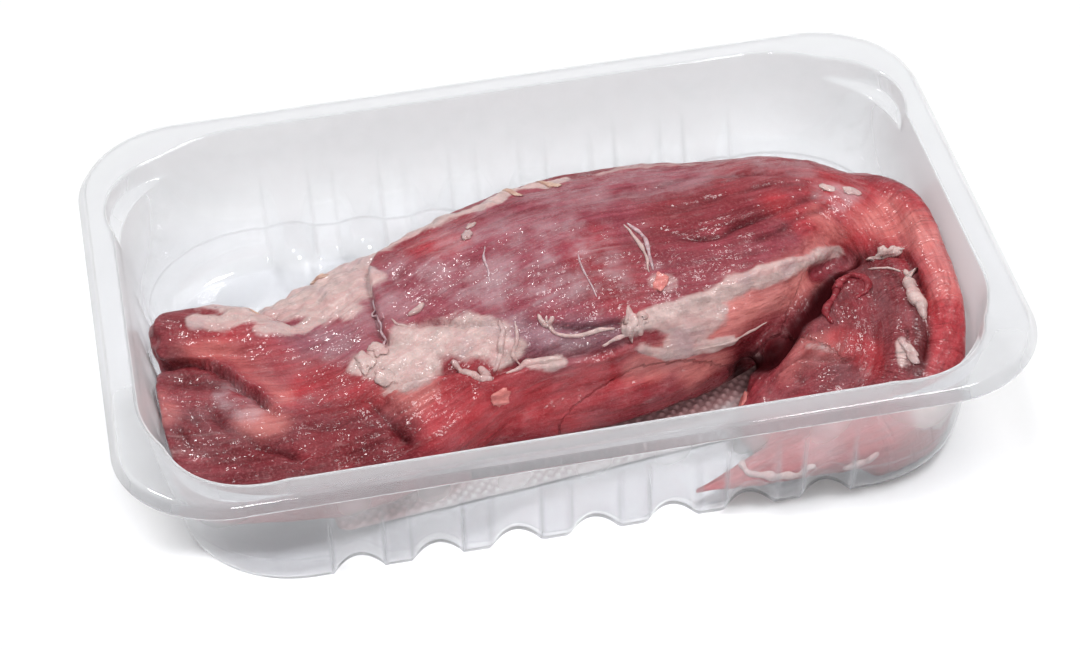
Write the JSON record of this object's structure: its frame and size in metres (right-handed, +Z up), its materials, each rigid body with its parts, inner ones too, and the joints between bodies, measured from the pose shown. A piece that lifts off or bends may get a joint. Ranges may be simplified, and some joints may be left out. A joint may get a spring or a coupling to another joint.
{
  "type": "raw meat tray pack",
  "caption": "Clear shallow plastic tray, open at the top, holding a folded raw pork tenderloin on a white absorbent pad.",
  "frame": {"origin": "middle of the tray's base, on the surface it stands on", "axes": "+X along the tray's long side, towards the end where the tail of the meat curls round; +Y towards the long side behind the meat; +Z up out of the tray"},
  "size_m": [0.2336, 0.1636, 0.0429],
  "materials": {
    "clear_plastic": "thin clear thermoformed plastic, glossy",
    "pad": "matt embossed fibre",
    "raw_meat": "moist raw muscle with pale fat and silverskin"
  },
  "bodies": {
    "root": {"tray": "clear_plastic", "absorbent_pad": "pad", "tenderloin": "raw_meat"}
  },
  "joints": []
}
